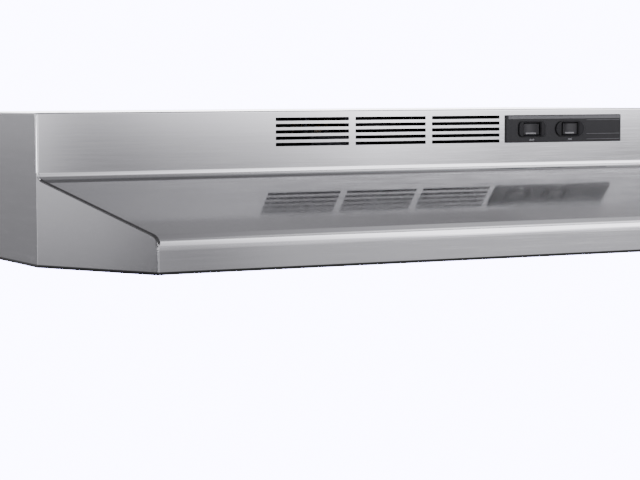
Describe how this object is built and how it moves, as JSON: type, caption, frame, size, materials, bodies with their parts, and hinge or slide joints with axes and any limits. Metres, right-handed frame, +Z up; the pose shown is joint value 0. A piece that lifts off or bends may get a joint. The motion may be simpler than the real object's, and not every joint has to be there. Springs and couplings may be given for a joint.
{
  "type": "under cabinet range hood",
  "caption": "Under cabinet range hood in brushed stainless steel, with a sloped canopy, mitred sides, front louvres, two rocker switches, fan, filter and lamp.",
  "frame": {"origin": "centre of the four mounting screws, on the hood's top face", "axes": "+X to the right, -Y out of the front, +Z up towards the cabinet"},
  "size_m": [0.761, 0.4445, 0.153],
  "materials": {
    "stainless": "satin",
    "galvanised": "satin",
    "white_enamel": "gloss",
    "black_enamel": "matte",
    "zinc_screw": "satin",
    "spring_steel": "satin",
    "lamination_steel": "matte",
    "shaft_steel": "polished",
    "aluminium": "satin",
    "brass": "satin",
    "coil_tape": "gloss",
    "charcoal": "matte",
    "plate_plastic": "satin",
    "rocker_plastic": "gloss",
    "phenolic": "gloss",
    "lens_polymer": "gloss",
    "bulb_glass": "satin",
    "rubber": "matte",
    "lead_sheath": "satin"
  },
  "bodies": {
    "hood": {"canopy_shell": "stainless", "left_side_panel": "stainless", "right_side_panel": "stainless", "back_panel": "galvanised", "top_knockout": "stainless", "fan_deck": "black_enamel", "plenum_box": "black_enamel", "left_air_baffle": "black_enamel", "right_air_baffle": "black_enamel", "rear_air_baffle": "black_enamel", "deck_screws": "zinc_screw", "motor_bridge": "black_enamel", "bridge_screws": "zinc_screw", "motor_stator": "lamination_steel", "motor_coil": "coil_tape", "upper_bearing_bracket": "black_enamel", "lower_bearing_bracket": "black_enamel", "upper_bearing": "brass", "lower_bearing": "brass", "motor_screws": "zinc_screw", "motor_spacers": "aluminium", "motor_nuts": "zinc_screw", "filter_rail": "galvanised", "filter_clips": "spring_steel", "lamp_housing": "white_enamel", "lens_pins": "zinc_screw", "lens_latch": "spring_steel", "lamp_socket": "phenolic", "lamp_shell": "brass", "bulb_cap": "brass", "bulb_glass": "bulb_glass", "socket_screws": "zinc_screw", "nameplate": "plate_plastic", "light_switch_bezel": "rocker_plastic", "fan_switch_bezel": "rocker_plastic", "light_switch_body": "rocker_plastic", "fan_switch_body": "rocker_plastic", "switch_terminals": "brass", "wiring_cover": "galvanised", "cover_screws": "zinc_screw", "ground_screw": "zinc_screw", "wire_grommets": "rubber", "motor_lead": "lead_sheath", "lamp_lead": "lead_sheath"},
    "rotor": {"fan_blade": "aluminium", "motor_shaft": "shaft_steel", "rotor_core": "lamination_steel", "blade_nut": "zinc_screw"},
    "filter": {"filter_frame": "aluminium", "filter_screens": "aluminium", "filter_charcoal_pad": "charcoal", "filter_pull_tab": "aluminium"},
    "lens": {"light_lens": "lens_polymer"},
    "light_rocker": {"light_rocker": "rocker_plastic"},
    "fan_rocker": {"fan_rocker": "rocker_plastic"}
  },
  "joints": [
    {"name": "fan_spin", "type": "hinge", "parent": "hood", "child": "rotor", "pos_m": [0.0201, 0, -0.05], "axis": [0, 0, 1], "continuous": true},
    {"name": "filter_drop", "type": "hinge", "parent": "hood", "child": "filter", "pos_m": [0.0201, 0.11, -0.1318], "axis": [1, 0, 0], "range_deg": [0, 75]},
    {"name": "lens_drop", "type": "hinge", "parent": "hood", "child": "lens", "pos_m": [0.255, 0.105, -0.1115], "axis": [1, 0, 0], "range_deg": [0, 75]},
    {"name": "light_rock", "type": "hinge", "parent": "hood", "child": "light_rocker", "pos_m": [0.1992, -0.1484, -0.0227], "axis": [0, 0, 1], "range_deg": [0, 16]},
    {"name": "fan_rock", "type": "hinge", "parent": "hood", "child": "fan_rocker", "pos_m": [0.25, -0.1484, -0.0227], "axis": [0, 0, 1], "range_deg": [-8, 8]}
  ]
}
